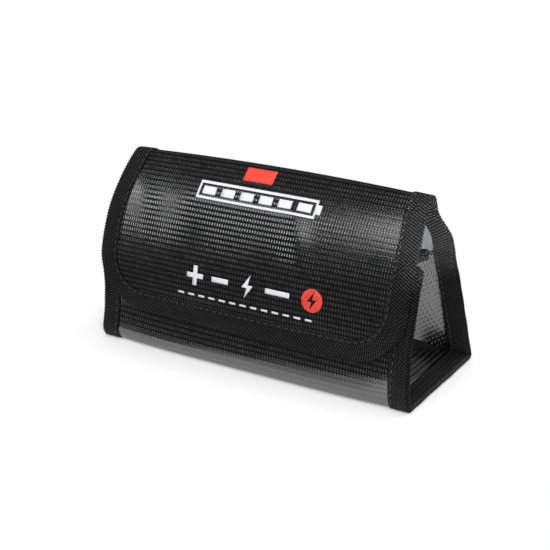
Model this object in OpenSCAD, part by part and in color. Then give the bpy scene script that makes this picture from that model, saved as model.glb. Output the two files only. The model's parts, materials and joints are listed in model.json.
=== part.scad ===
// Fire-resistant charging bag for lithium-polymer packs: a free-standing sewn
// pouch with folded-in end gussets, bound edges and a hook-and-loop flap.
// Origin: middle of the base, on the surface it stands on.
// +X runs along the bag, -Y is the front with the flap, +Z is up.

/* [Overall] */
// Length over the two end flanges
bag_l = 160; // [130:1:200]
// Depth of the base, front fold to rear fold
base_d = 64; // [58:1:72]
// Height to the top of the ridge
bag_h = 86; // [80:1:96]

/* [Ridge] */
// Outside radius of the roll at the ridge
ridge_r = 4.6; // [4:0.1:6]
// Front-to-back place of the ridge's centre
ridge_y = -4.4; // [-8:0.1:0]
// Length of the ridge over the bindings
ridge_l = 150; // [120:1:160]
// Height of the shoulders, where the back becomes as narrow as the ridge
shoulder_z = 74; // [66:1:76]

/* [Front wall and flap] */
// Height up to which the front stands upright, before it leans back
knee_z = 26; // [20:1:32]
// Height of the front wall's top edge, the mouth of the pouch
mouth_z = 62; // [54:1:64]
// Distance from the front wall's outer face to the flap's outer face
flap_gap = 3.6; // [3.6:0.1:5]
// Height of the flap's lower edge
flap_z = 20; // [14:1:24]
// Width of the flap at its widest
flap_w = 155; // [140:1:158]
// Radius of the flap's two lower corners
flap_corner_r = 25; // [15:1:30]
// How far the ridge line's two cloths stand apart at the hinge
hinge_gap = 0.3; // [0.2:0.1:0.6]

/* [Layers] */
// Thickness of the coated glass cloth
cloth_t = 1.0; // [0.8:0.1:1.4]
// Thickness of the lining
lining_t = 0.5; // [0.4:0.1:0.8]
// Thickness of the binding tape
tape_t = 0.5; // [0.3:0.1:0.6]
// Width of the binding tape on each face
tape_w = 9.5; // [7:0.5:12]
// Thickness of a printed ink film
ink_t = 0.15; // [0.1:0.05:0.2]

/* [Gussets] */
// Height of the gussets' top edge
gusset_z = 58; // [50:1:60]
// How far the low crease is pushed in
crease_in = 15; // [8:1:20]
// Height of the low crease's deepest point
crease_z = 19; // [12:1:26]
// How far the middle of the top edge is pushed in
top_in = 7; // [3:1:12]

/* [Hook and loop] */
// Length of the two fastener strips
strip_l = 104; // [60:1:110]
// Height of the strips' lower edge
strip_z = 32; // [30:1:34]
// Height of the strips
strip_h = 16; // [10:1:16]
// Thickness of the loop strip on the front wall
loop_t = 0.8; // [0.6:0.1:0.8]
// Thickness of the hook strip under the flap
hook_t = 0.5; // [0.4:0.1:0.5]

/* [Stitching] */
// Distance from one stitch to the next
stitch_pitch = 5; // [4:0.5:8]
// Length of one stitch
stitch_l = 3.6; // [2:0.1:3.8]

/* [Hidden] */

cloth_black = [0.07, 0.07, 0.07];
lining_grey = [0.32, 0.32, 0.33];
tape_black = [0.12, 0.12, 0.12];
thread_black = [0.18, 0.18, 0.18];
strip_black = [0.16, 0.16, 0.16];
ink_white = [0.93, 0.93, 0.95];
ink_red = [0.90, 0.22, 0.17];

far = 400;                 // larger than the whole bag, for cutting solids
thread_w = 0.5;            // width of a stitch across its row
thread_h = 0.2;            // height of a stitch above the cloth
thread_lift = 0.02;        // keeps stitches just clear of the faceted faces
stitch_in = 1.6;           // from a tape's or strip's edge to its stitch row
shoulder_h = 8;            // height over which the back narrows at a shoulder
hem_h = 4;                 // width of the tape on the gussets' top edges
arc_steps = 24;            // segments in each long curve
roll_steps = 5;            // segments in each half of the ridge roll

half_l = bag_l / 2;
half_d = base_d / 2;
ridge_half = ridge_l / 2;
flap_half = flap_w / 2;
wall_t = cloth_t + lining_t;             // cloth and lining together
flap_edge_t = wall_t + tape_t;           // flap edge, measured from its outer face
flange_t = wall_t + cloth_t + tape_t;    // end flange, measured from its outer face
seam_x = half_l - tape_w;                // inboard edge of the end tapes
gusset_x = seam_x - 0.5;                 // outer face of a gusset at its seams
hem_x = gusset_x - cloth_t - tape_t - 1; // clear of a gusset's hem on its inboard side

// The ridge roll and the big front curve are circles that touch each other.
roll_c = [ridge_y, bag_h - ridge_r];
flap_y = -half_d - flap_gap;             // outer face of the flap where it is upright
reach = ridge_y - flap_y;
rise = roll_c[1] - knee_z;
front_r = (reach * reach + rise * rise - ridge_r * ridge_r) / (2 * (reach - ridge_r));
front_c = [flap_y + front_r, knee_z];
wall_r = front_r - flap_gap;
hook_face_r = front_r - wall_t - hook_t;
blend_a = atan2(roll_c[1] - front_c[1], roll_c[0] - front_c[0]);

// The back wall runs straight from the rear fold and touches the roll.
rear = [half_d, 0];
to_roll = roll_c - rear;
back_a = atan2(to_roll[1], to_roll[0]) - 90 - asin(ridge_r / norm(to_roll));
to_roll_face = to_roll + ridge_r * [cos(back_a), sin(back_a)];

function polar(c, r, a) = c + r * [cos(a), sin(a)];
function arc(c, r, a0, a1, n) = [for (i = [0:n]) polar(c, r, a0 + (a1 - a0) * i / n)];
function side_normal(a, b) = let (u = (b - a) / norm(b - a)) [-u[1], u[0]];

// A path moved sideways by d, with mitred corners. Positive is into the bag.
function moved(p, d) = [
    for (i = [0:len(p) - 1])
        let (
            last = len(p) - 1,
            after = side_normal(p[min(i, last - 1)], p[min(i, last - 1) + 1]),
            before = i == 0 ? after : side_normal(p[i - 1], p[i])
        )
        p[i] + d * (before + after) / (1 + before * after)
];
function backwards(p) = [for (i = [len(p) - 1:-1:0]) p[i]];
function tail(p) = [for (i = [1:len(p) - 1]) p[i]];

// Outer face of the pouch: mouth, front, base, back and ridge top.
mouth_a = 180 - asin((mouth_z + 4 - knee_z) / wall_r);
pouch_path = concat(
    arc(front_c, wall_r, mouth_a, 180, arc_steps),
    [[-half_d, 0], rear],
    arc(roll_c, ridge_r, back_a, 90, roll_steps)
);
// Outer face of the flap: ridge top to lower edge.
flap_path = concat(
    arc(roll_c, ridge_r, 90, blend_a, roll_steps),
    tail(arc(front_c, front_r, blend_a, 180, arc_steps)),
    [[flap_y, flap_z]]
);

// A layer between two depths below a path's face, running along X.
module layer(p, d0, d1) {
    translate([-half_l, 0, 0])
        rotate([90, 0, 90])
            linear_extrude(bag_l)
                polygon(concat(moved(p, d0), backwards(moved(p, d1))));
}

// A front-view outline pushed right through the bag along Y.
module through() {
    rotate([90, 0, 0]) linear_extrude(far, center = true) children();
}

module pouch_outline(inset) {
    low = half_l - inset;
    top = ridge_half - inset;
    polygon([
        [-low, -far], [low, -far], [low, shoulder_z - shoulder_h], [top, shoulder_z],
        [top, far], [-top, far], [-top, shoulder_z], [-low, shoulder_z - shoulder_h],
    ]);
}

module flap_outline(inset) {
    w = flap_half - inset;
    r = flap_corner_r - inset;
    top = ridge_half - inset;
    low = flap_z + inset;
    polygon(concat(
        [[top, far], [-top, far], [-top, bag_h]],
        [[-w, mouth_z]],
        arc([r - w, low + r], r, 180, 270, 12),
        arc([w - r, low + r], r, 270, 360, 12),
        [[w, mouth_z], [top, bag_h]]
    ));
}

module between_z(z0, z1) {
    intersection() {
        children();
        translate([-far / 2, -far / 2, z0]) cube([far, far, z1 - z0]);
    }
}

// Everything above z in front of the ridge.
module front_above(z) {
    translate([-far / 2, -far, z]) cube([far, far + ridge_y - ridge_r, far]);
}

// The side of the ridge line that belongs to the pouch, or to the flap.
module pouch_side() {
    intersection() {
        children();
        union() {
            translate([-far / 2, ridge_y + hinge_gap / 2, -far / 2]) cube(far);
            translate([-far / 2, -far, -far]) cube([far, far * 2, far + gusset_z + tape_w]);
        }
    }
}
module flap_side() {
    intersection() {
        children();
        translate([-far / 2, ridge_y - hinge_gap / 2 - far, -far / 2]) cube(far);
    }
}

module right_half() {
    intersection() {
        children();
        translate([0, -far / 2, -far / 2]) cube(far);
    }
}

// ---- Pouch ----

module outer_wrap() {
    color(cloth_black) pouch_side() difference() {
        intersection() {
            layer(pouch_path, 0, cloth_t);
            through() pouch_outline(tape_t);
        }
        intersection() {
            layer(pouch_path, -1, tape_t);
            through() difference() {
                pouch_outline(-1);
                pouch_outline(tape_w);
            }
        }
        front_above(mouth_z - tape_t);
        intersection() {
            layer(pouch_path, -1, tape_t);
            front_above(mouth_z - tape_w);
        }
    }
}

module inner_lining() {
    color(lining_grey) pouch_side() difference() {
        intersection() {
            layer(pouch_path, cloth_t, wall_t);
            through() pouch_outline(tape_t);
        }
        front_above(mouth_z - tape_t);
    }
}

// Tape folded round an end flange: a C in section, open towards the bag.
module folded_tape(depth) {
    difference() {
        intersection() {
            layer(pouch_path, 0, depth);
            through() difference() {
                pouch_outline(0);
                pouch_outline(tape_w);
            }
        }
        intersection() {
            layer(pouch_path, tape_t, depth - tape_t);
            through() pouch_outline(tape_t);
        }
    }
}

module right_end_binding() {
    color(tape_black) right_half() pouch_side() difference() {
        union() {
            between_z(-1, gusset_z) folded_tape(flange_t);
            between_z(gusset_z, far / 2) folded_tape(flap_edge_t);
        }
        front_above(mouth_z);
    }
}

// The front wall's top edge is bound between the two end tapes.
module mouth_binding() {
    color(tape_black) difference() {
        intersection() {
            layer(pouch_path, 0, flap_edge_t);
            front_above(mouth_z - tape_w);
            translate([-seam_x, -far / 2, 0]) cube([2 * seam_x, far, far]);
        }
        intersection() {
            layer(pouch_path, wall_t, flap_edge_t + 1);
            union() for (s = [-1, 1])
                translate([s * (hem_x + far / 2), 0, 0]) cube(far, center = true);
        }
        difference() {
            layer(pouch_path, tape_t, wall_t);
            front_above(mouth_z - tape_t);
        }
        front_above(mouth_z);
    }
}

// The right gusset's folded face. Its rim follows the lining, its low crease
// and the middle of its top edge are pushed in. x0 and x1 are its two skins.
module gusset_face(x0, x1) {
    rim = moved(pouch_path, wall_t);
    top = gusset_z + tape_t;
    front = [for (p = rim) if (p[0] < 0 && p[1] > 0 && p[1] < top - 2) p];
    front_top = [front_c[0] - sqrt(pow(wall_r - wall_t, 2) - pow(top - knee_z, 2)), top];
    base_front = rim[arc_steps + 1];
    base_rear = rim[arc_steps + 2];
    roll = rim[arc_steps + 3];
    back_top = base_rear + (roll - base_rear) * (top - base_rear[1]) / (roll[1] - base_rear[1]);
    top_mid = (front_top + back_top) / 2;
    ring = concat([top_mid, front_top], front, [base_front, base_rear, back_top]);
    n = len(ring);
    crease = [0, crease_z];
    flat = concat(ring, [crease]);
    depth = [for (i = [0:n]) i == 0 ? top_in : i == n ? crease_in : 0];
    polyhedron(
        points = [
            for (x = [x0, x1]) for (i = [0:n]) [x - depth[i], flat[i][0], flat[i][1]]
        ],
        faces = concat(
            [for (i = [0:n - 1]) [n, i, (i + 1) % n]],
            [for (i = [0:n - 1]) [2 * n + 1, n + 1 + (i + 1) % n, n + 1 + i]],
            [for (i = [0:n - 1]) [i, n + 1 + i, n + 1 + (i + 1) % n, (i + 1) % n]]
        )
    );
}

module right_gusset() {
    color(cloth_black) between_z(-1, gusset_z) union() {
        gusset_face(gusset_x - cloth_t, gusset_x);
        intersection() {
            layer(pouch_path, wall_t, wall_t + cloth_t);
            translate([gusset_x - cloth_t, -far / 2, -1])
                cube([half_l - tape_t - gusset_x + cloth_t, far, far]);
        }
    }
}

module right_gusset_hem() {
    color(tape_black) difference() {
        between_z(gusset_z - hem_h, gusset_z + tape_t)
            gusset_face(gusset_x - cloth_t - tape_t, gusset_x + tape_t);
        right_gusset();
    }
}

module loop_strip() {
    color(strip_black) strip(pouch_path, -loop_t, 0);
}

// A fastener strip on the front face, between two depths of a path.
module strip(p, d0, d1) {
    intersection() {
        layer(p, d0, d1);
        translate([-strip_l / 2, -far, strip_z]) cube([strip_l, far, strip_h]);
    }
}

// ---- Stitching: one short bar for each visible stitch ----

// One stitch on a face: at a point, along dir, with the face's outward normal.
module stitch(x, p, across, out) {
    a = atan2(out[1], out[0]);
    translate([x, p[0] + out[0] * thread_lift, p[1] + out[1] * thread_lift])
        rotate([a - 90, 0, 0])
            rotate([0, 0, across])
                translate([-stitch_l / 2, -thread_w / 2, 0])
                    cube([stitch_l, thread_w, thread_h]);
}

// Stitches up the straight back wall at one x, from height z0 to z1.
module back_stitches(x, z0, z1) {
    slope = to_roll_face / to_roll_face[1];
    count = floor((z1 - z0) * norm(slope) / stitch_pitch);
    for (k = [0:count - 1]) {
        z = z0 + (z1 - z0) * (k + 0.5) / count;
        stitch(x, rear + slope * z, 90, [cos(back_a), sin(back_a)]);
    }
}

// Stitches up a front curve at one x, from height z0 to z1.
module front_stitches(x, z0, z1, r) {
    count = floor((z1 - z0) / stitch_pitch);
    for (k = [0:count - 1]) {
        z = z0 + (z1 - z0) * (k + 0.5) / count;
        stitch(x, front_point(z, r), 90, front_out(z, r));
    }
}

// Height on the front curve of the pouch or flap, as a point and its normal.
function front_angle(z, r) = z <= knee_z ? 180 : 180 - asin((z - knee_z) / r);
function front_point(z, r) = z <= knee_z ? [front_c[0] - r, z] : polar(front_c, r, front_angle(z, r));
function front_out(z, r) = [cos(front_angle(z, r)), sin(front_angle(z, r))];

// A straight row of stitches along X at one height of a front curve.
module row_stitches(half, z, r) {
    count = floor(2 * half / stitch_pitch);
    for (k = [0:count - 1])
        stitch(-half + (k + 0.5) * 2 * half / count, front_point(z, r), 0, front_out(z, r));
}

module right_end_stitching() {
    color(thread_black) {
        front_stitches(seam_x + stitch_in, 3, mouth_z - 2, wall_r);
        back_stitches(seam_x + stitch_in, 3, shoulder_z - shoulder_h);
    }
}

module mouth_stitching() {
    color(thread_black) row_stitches(seam_x - 3, mouth_z - tape_w + stitch_in, wall_r);
}

module strip_stitching(r) {
    for (z = [strip_z + stitch_in, strip_z + strip_h - stitch_in])
        row_stitches(strip_l / 2 - 2, z, r);
}

// ---- Flap ----

module flap_panel() {
    color(cloth_black) flap_side() difference() {
        intersection() {
            layer(flap_path, 0, cloth_t);
            through() flap_outline(tape_t);
        }
        intersection() {
            layer(flap_path, -1, tape_t);
            through() difference() {
                flap_outline(-1);
                flap_outline(tape_w);
            }
        }
    }
}

module flap_lining() {
    color(lining_grey) flap_side() intersection() {
        layer(flap_path, cloth_t, wall_t);
        through() flap_outline(tape_t);
    }
}

module flap_binding() {
    color(tape_black) flap_side() difference() {
        intersection() {
            layer(flap_path, 0, flap_edge_t);
            through() difference() {
                flap_outline(0);
                flap_outline(tape_w);
            }
        }
        intersection() {
            layer(flap_path, tape_t, wall_t);
            through() flap_outline(tape_t);
        }
    }
}

module hook_strip() {
    color(strip_black) strip(flap_path, wall_t, wall_t + hook_t);
}

// The flap's tape is sewn once round, close to its inner edge.
module flap_stitching() {
    inset = tape_w - stitch_in;
    w = flap_half - inset;
    r = flap_corner_r - inset;
    low = flap_z + inset;
    turn_z = low + r;
    side_top = mouth_z + 10;
    sides = floor((side_top - turn_z) / stitch_pitch);
    bends = floor(90 * r * PI / 180 / stitch_pitch);
    color(thread_black) {
        row_stitches(w - r, low, front_r);
        for (s = [-1, 1]) {
            for (k = [0:sides - 1]) {
                z = turn_z + (k + 0.5) * stitch_pitch;
                stitch(s * w, front_point(z, front_r), 90, front_out(z, front_r));
            }
            for (k = [0:bends - 1]) {
                a = 90 * (k + 0.5) / bends;
                z = turn_z - r * cos(a);
                stitch(s * (w - r + r * sin(a)), front_point(z, front_r), s * a, front_out(z, front_r));
            }
        }
    }
}

// ---- Prints: plain signs, a battery row, plus and minus, a bolt and rules ----

battery_w = 60;
battery_h = 6.4;
sign_z = 42;
disc_r = 5;

module bar(x, z, w, h) {
    translate([x - w / 2, z - h / 2]) square([w, h]);
}

// A long battery seen from the side: a case outline, its terminal and cells.
module battery_sign(x, z) {
    wall = 0.9;
    cells = 6;
    cell_pitch = (battery_w - 2 * wall) / cells;
    difference() {
        bar(x, z, battery_w, battery_h);
        bar(x, z, battery_w - 2 * wall, battery_h - 2 * wall);
    }
    bar(x + battery_w / 2 + 1, z, 2.4, battery_h / 2);
    for (i = [0:cells - 1])
        bar(x + (i - (cells - 1) / 2) * cell_pitch, z, cell_pitch - 3, battery_h - 4 * wall);
}

module plus_sign(x, z, size) {
    bar(x, z, size, size / 4);
    bar(x, z, size / 4, size);
}

module bolt_sign(x, z, size) {
    translate([x, z]) polygon(size * [
        [0.12, 0.5], [-0.28, -0.06], [-0.02, -0.06],
        [-0.12, -0.5], [0.28, 0.06], [0.02, 0.06],
    ]);
}

module ink(c) {
    color(c) intersection() {
        layer(flap_path, -ink_t, 0);
        through() children();
        translate([-far / 2, ridge_y - hinge_gap / 2 - far, 0]) cube(far);
    }
}

module white_print() {
    ink(ink_white) {
        battery_sign(-2, 75.5);
        plus_sign(-24, sign_z, 8.5);
        bar(-11, sign_z, 8.5, 2.2);
        bolt_sign(3, sign_z, 10);
        bar(18, sign_z, 12, 2.2);
        for (x = [-31:5.4:34]) bar(x, 33.4, 3.2, 0.9);
    }
}

module red_print() {
    ink(ink_red) {
        bar(-4.5, 83, 15, 4.4);
        difference() {
            translate([35, sign_z]) circle(disc_r, $fn = 48);
            bolt_sign(35, sign_z, 8);
        }
    }
}

module mirrored() {
    mirror([1, 0, 0]) children();
}

outer_wrap();
inner_lining();
mirrored() right_gusset();  // left_gusset
right_gusset();
mirrored() right_gusset_hem();  // left_gusset_hem
right_gusset_hem();
mirrored() right_end_binding();  // left_end_binding
right_end_binding();
mouth_binding();
loop_strip();
mirrored() right_end_stitching();  // left_end_stitching
right_end_stitching();
mouth_stitching();
color(thread_black) strip_stitching(wall_r + loop_t);  // loop_strip_stitching
flap_panel();
flap_lining();
flap_binding();
hook_strip();
flap_stitching();
color(thread_black) strip_stitching(hook_face_r - thread_h - 3 * thread_lift);  // hook_strip_stitching
white_print();
red_print();
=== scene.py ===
"""A small standing charging bag for lithium-polymer packs: glossy coated cloth, bound edges,
folded end gussets and a flap. All lengths below are in millimetres until a mesh is made."""

import json
import math

import bmesh
import bpy
import numpy as np
from mathutils import Matrix, Vector

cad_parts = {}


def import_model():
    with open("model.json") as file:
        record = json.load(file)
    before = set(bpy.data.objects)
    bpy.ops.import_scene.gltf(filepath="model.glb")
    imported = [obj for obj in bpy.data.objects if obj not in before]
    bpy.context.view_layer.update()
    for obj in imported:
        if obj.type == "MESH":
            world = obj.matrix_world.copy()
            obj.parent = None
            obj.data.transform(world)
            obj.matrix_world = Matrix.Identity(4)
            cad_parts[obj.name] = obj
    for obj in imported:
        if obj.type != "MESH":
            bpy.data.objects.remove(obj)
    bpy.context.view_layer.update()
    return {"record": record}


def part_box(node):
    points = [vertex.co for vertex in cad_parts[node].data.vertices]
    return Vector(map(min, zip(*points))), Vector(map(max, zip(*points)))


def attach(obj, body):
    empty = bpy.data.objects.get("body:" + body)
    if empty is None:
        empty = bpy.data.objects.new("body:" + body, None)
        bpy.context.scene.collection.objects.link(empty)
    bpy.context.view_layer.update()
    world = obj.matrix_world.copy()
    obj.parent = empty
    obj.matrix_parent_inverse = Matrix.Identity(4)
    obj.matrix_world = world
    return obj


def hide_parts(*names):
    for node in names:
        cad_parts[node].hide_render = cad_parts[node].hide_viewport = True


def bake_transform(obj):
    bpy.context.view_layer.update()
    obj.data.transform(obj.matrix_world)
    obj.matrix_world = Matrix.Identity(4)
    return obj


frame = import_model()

MM = 0.001


def span(node):
    """A CAD node's lowest and highest corner, in millimetres."""
    low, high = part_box(node)
    return np.array(low) / MM, np.array(high) / MM


# ---- Sizes, from the frame ----

HINGE_Y, HINGE_Z = np.array(frame["record"]["behaviour"]["joints"][0]["pos_m"][1:]) / MM
HALF_L = span("right_end_binding")[1][0]
FRONT_Y = span("outer_wrap")[0][1]
REAR_Y = span("outer_wrap")[1][1]
TOP_Z = span("outer_wrap")[1][2]
FLAP_Y = span("flap_panel")[0][1]
FLAP_Z = span("flap_binding")[0][2]
FLAP_HALF = span("flap_binding")[1][0]
MOUTH_Z = span("mouth_binding")[1][2]
SEAM_X = span("mouth_binding")[1][0]
TAPE_W = HALF_L - SEAM_X
GUSSET_Z = span("right_gusset")[1][2]
APEX_X = span("right_gusset")[0][0]
STRIP_HALF = span("loop_strip")[1][0]
STRIP_LOW = span("loop_strip")[0][2]
STRIP_HIGH = span("loop_strip")[1][2]
RIDGE_HALF = 75.0  # half the ridge's length
RIDGE_R = 4.6  # how round the ridge is
KNEE_Z = 26.0  # above this the front leans back
SHOULDER_Z = 78.5  # where the flap's tape meets the end tapes at the back
CREASE_Y, CREASE_Z = 0.0, 19.0  # where the gusset's low crease is deepest
TOP_DIP = 7.0  # how far the middle of a gusset's top edge is pushed in
FOLD_R = 1.7  # radius of the two folds at the base
CORNER_R = 25.0  # the flap's lower corners

# Depths below the reference face, which is the outside of the tape.
CLOTH_D = 0.5
LINING_D = 1.1
INSIDE_D = 1.5
FLAP_EDGE_D = 2.0
FLANGE_D = 3.0
TAPE_T = 0.45
ROW = 2.3  # one row of the cloth's raised dashes
DASH = 1.3  # from one dash to the next
RELIEF = 0.11  # how far a dash stands up
RIB = 0.11  # how far a tape's ribs stand up
RIB_STEP = 0.65  # from a rib to the groove beside it
STITCH_IN = 1.6  # from a tape's or strip's edge to its row of stitches
STITCH_D = 0.13  # how deep a stitch is pulled into its tape
SHOULDER_GAP = 0.05  # either side of the cut between a tape on the flap and one on the pouch
EDGE_IN = 1.5  # from the flap's lower edge to its cloth, inside the tape
SIDE_IN = 1.6  # from the flap's sides to its cloth
WALL_IN = 0.9  # from the pouch's ends to its cloth
MOUTH_IN = 1.0  # from the mouth's edge to the cloth

# How far the sewn cloth has gone out of its plain shape.
CROWN = 1.7  # up, in the middle of the ridge
BULGE = 1.7  # out, low on the front wall
LEAN = 2.7  # back in, higher on the front wall
BASE_SAG = 1.5  # forwards, in the middle of the base's front edge

WORD = {-1: "left", 1: "right"}


# ---- The bag's outline in section, as one long curve ----


def unit(v):
    return v / np.linalg.norm(v)


def arc(centre, radius, start, end, step=0.1):
    count = max(2, int(abs(end - start) * radius / step))
    a = np.linspace(start, end, count)
    return np.stack([centre[0] + radius * np.cos(a), centre[1] + radius * np.sin(a)], 1)


def rounded(corner, before, after, radius):
    """The arc that rounds a corner between two directions."""
    turn = math.acos(np.clip(-before @ after, -1, 1)) / 2
    reach = radius / math.tan(turn)
    centre = corner + unit(after - before) * radius / math.sin(turn)
    first, last = corner - before * reach - centre, corner + after * reach - centre
    a0 = math.atan2(first[1], first[0])
    a1 = math.atan2(last[1], last[0])
    if a1 < a0:
        a1 += 2 * math.pi
    return arc(centre, radius, a0, a1, 0.05)


def section():
    """The outer face: down the front from the mouth, under the base, up the back, over the flap."""
    roll = np.array([HINGE_Y, TOP_Z - RIDGE_R])
    reach, rise = HINGE_Y - FLAP_Y, roll[1] - KNEE_Z
    flap_r = (reach**2 + rise**2 - RIDGE_R**2) / (2 * (reach - RIDGE_R))
    centre = np.array([FLAP_Y + flap_r, KNEE_Z])
    wall_r = centre[0] - FRONT_Y
    meet = math.atan2(*(roll - centre)[::-1])
    rear = np.array([REAR_Y, 0.0])
    to_roll = roll - rear
    back = math.atan2(to_roll[1], to_roll[0]) - math.pi / 2
    back -= math.asin(RIDGE_R / np.linalg.norm(to_roll))
    up_back = np.array([-math.sin(back), math.cos(back)])
    down, along = np.array([0.0, -1.0]), np.array([1.0, 0.0])
    mouth = math.pi - math.asin((MOUTH_Z - KNEE_Z) / wall_r)
    parts = [
        arc(centre, wall_r, mouth, math.pi),
        rounded(np.array([FRONT_Y, 0.0]), down, along, FOLD_R),
        rounded(rear, along, up_back, FOLD_R),
        arc(roll, RIDGE_R, back, math.pi / 2, 0.05),
        arc(roll, RIDGE_R, math.pi / 2, meet, 0.05)[1:],
        arc(centre, flap_r, meet, math.pi)[1:],
        np.array([[FLAP_Y, FLAP_Z - 1]]),
    ]
    sizes = np.cumsum([len(p) for p in parts])
    return np.concatenate(parts), sizes[3] - 1, up_back


class Mitre:
    """Keeps the layers inside a fold at the base from crossing its middle line."""

    def __init__(self, corner, before, after):
        self.corner, self.before, self.after = corner, before, after
        self.across = unit(before + after)

    def clip(self, y, z, first):
        """Points on the first or second side of the fold, slid along their wall to its middle."""
        over = (y - self.corner[0]) * self.across[0] + (z - self.corner[1]) * self.across[1]
        wall = self.before if first else self.after
        slide = over / (wall @ self.across)
        crossed = over > 0 if first else over < 0
        return np.where(crossed, y - slide * wall[0], y), np.where(crossed, z - slide * wall[1], z)


CURVE, HINGE_AT, UP_BACK = section()
LENGTH = np.concatenate([[0], np.cumsum(np.linalg.norm(np.diff(CURVE, axis=0), axis=1))])
LENGTH -= LENGTH[HINGE_AT]  # 0 at the hinge, positive down the flap, negative down the back
FINE = np.arange(LENGTH[0], LENGTH[-1], 0.05)
FINE_Y, FINE_Z = (np.interp(FINE, LENGTH, CURVE[:, k]) for k in (0, 1))


def averaged(values):
    """Values smoothed over their nine nearest."""
    return np.convolve(np.pad(values, 4, "edge"), np.ones(9) / 9, "valid")


SLOPE = np.stack([averaged(np.gradient(FINE_Z)), averaged(-np.gradient(FINE_Y))], 1)
SLOPE /= np.linalg.norm(SLOPE, axis=1)[:, None]


def along(low, high):
    """A function from height to length round the curve, on the stretch low < length < high."""
    keep = (FINE >= low) & (FINE <= high)
    order = np.argsort(FINE_Z[keep])
    return lambda z: float(np.interp(z, FINE_Z[keep][order], FINE[keep][order]))


MOUTH = LENGTH[0]
FOLDS = [
    Mitre(np.array([FRONT_Y, 0.0]), np.array([0.0, -1.0]), np.array([1.0, 0.0])),
    Mitre(np.array([REAR_Y, 0.0]), np.array([1.0, 0.0]), UP_BACK),
]
FOLD_AT = [float(FINE[np.argmin(np.hypot(FINE_Y - f.corner[0], FINE_Z))]) for f in FOLDS]
BASE_FRONT = float(FINE[np.argmin(np.abs(FINE_Y - FRONT_Y - FOLD_R) + 9 * (FINE_Z > 1))])
BASE_REAR = float(FINE[np.argmin(np.abs(FINE_Y - REAR_Y + 2 * FOLD_R) + 9 * (FINE_Z > 1))])
front_at = along(MOUTH, BASE_FRONT)
back_at = along(BASE_REAR, 0)
flap_at = along(0, LENGTH[-1])
FLAP_END = flap_at(FLAP_Z)
SPLIT = back_at(SHOULDER_Z)


def smooth(x, low, high):
    """0 below low, 1 above high, and an even curve between."""
    t = np.clip((x - low) / (high - low), 0, 1)
    return t * t * (3 - 2 * t)


RANDOM = np.random.default_rng(7)
WAVES = [
    (RANDOM.uniform(0.02, 0.075), RANDOM.uniform(-0.11, 0.11), RANDOM.uniform(0, 6.28))
    for _ in range(14)
]


def ripple(x, t):
    """Slow unevenness of cloth, about 1 either way."""
    total = 0
    for i, (a, b, c) in enumerate(WAVES):
        total = total + np.sin(a * x + b * t + c + 0.8 * np.sin(0.03 * x * (i % 3) + c))
    return total / 5.0


def crease(x, middle, width):
    """A rounded fold across x, 1 high in the middle."""
    return np.exp(-(((x - middle) / width) ** 2))


def flap_swell(x, t):
    """The flap is full in the middle, has three soft creases and waves along its lower edge."""
    full = 0.36 * ripple(x, t) + 0.9 - 1.5 * (np.abs(x) / FLAP_HALF) ** 3
    upright = 0.7 * crease(x, -36, 10) * (1 - smooth(t, 34, 66))
    beside = 0.3 * crease(x, -58 + 0.3 * (t - 30), 6) * (1 - smooth(t, 40, 60))
    slanted = 0.8 * crease(x, 24 + 0.45 * (t - 35), 7) * smooth(t, 12, 26) * (1 - smooth(t, 46, 62))
    edge = 0.35 * smooth(t, FLAP_END - 22, FLAP_END) * np.sin(0.083 * x + 1.0)
    return smooth(t, 6, 26) * (full + upright + beside) + slanted + edge


def wall_swell(x, t):
    """The back ripples. The front bulges low down and leans back above, later at the right."""
    z = np.interp(t, FINE, FINE_Z)
    on_back = smooth(-t, 6, 24) * smooth(t, BASE_REAR + 2, BASE_REAR + 24)
    on_front = smooth(z, 0, 4) * smooth(t, MOUTH, MOUTH + 10)
    on_front = on_front * smooth(-t, -BASE_FRONT, 1 - BASE_FRONT)
    turn = 7.5 + 6 * x / HALF_L
    bow = BULGE * smooth(z, -4, 7) - LEAN * smooth(z, turn, turn + 17)
    return on_back * 0.55 * ripple(x, t) + on_front * (bow + 0.12 * ripple(x, t))


def swell(x, t):
    """How far the cloth stands out from the plain curve, along its normal."""
    crown = CROWN * (1 - (x / RIDGE_HALF) ** 2) * smooth(t, -16, -3) * (1 - smooth(t, 8, 28))
    return np.where(t > 0, flap_swell(x, t), wall_swell(x, t)) + np.clip(crown, 0, None)


def dashes(x, t):
    """The cloth's weave: 1 on a raised dash, 0 between dashes and in the grooves between rows."""
    off_dash = np.abs(x / DASH - np.round(x / DASH))
    off_row = np.abs(t / ROW - np.round(t / ROW))
    return np.clip(3 * off_dash, 0, 1) * np.clip(5 * off_row, 0, 1)


def place(x, t, d, woven=False):
    """Points on the bag: x along it, t round its section, d below the reference face."""
    x, t, d = np.broadcast_arrays(np.asarray(x, float), np.asarray(t, float), np.asarray(d, float))
    y, z = np.interp(t, FINE, FINE_Y), np.interp(t, FINE, FINE_Z)
    ny, nz = np.interp(t, FINE, SLOPE[:, 0]), np.interp(t, FINE, SLOPE[:, 1])
    out = swell(x, t) - d
    if woven:
        out = out + RELIEF * (dashes(x, t) - 1)
    y, z = y + ny * out, z + nz * out
    for fold, at in zip(FOLDS, FOLD_AT):
        for first in (True, False):
            near = (t > at - 14) & (t <= at) if first else (t > at) & (t < at + 14)
            cy, cz = fold.clip(y, z, first)
            y, z = np.where(near, cy, y), np.where(near, cz, z)
    between = np.clip(1 - (x / SEAM_X) ** 4, 0, 1)
    y = y - BASE_SAG * between * smooth(-y, 5, 30) * (1 - smooth(z, 4, 22)) * (t < BASE_REAR)
    return np.stack([x, y, z], -1)


# ---- Mesh helpers ----


def volume(points, faces):
    """The volume inside a closed mesh, below zero if its faces point inwards."""
    total = 0.0
    for f in faces:
        p = points[list(f)]
        for i in range(1, len(f) - 1):
            total += p[0] @ np.cross(p[i], p[i + 1])
    return total / 6


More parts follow.
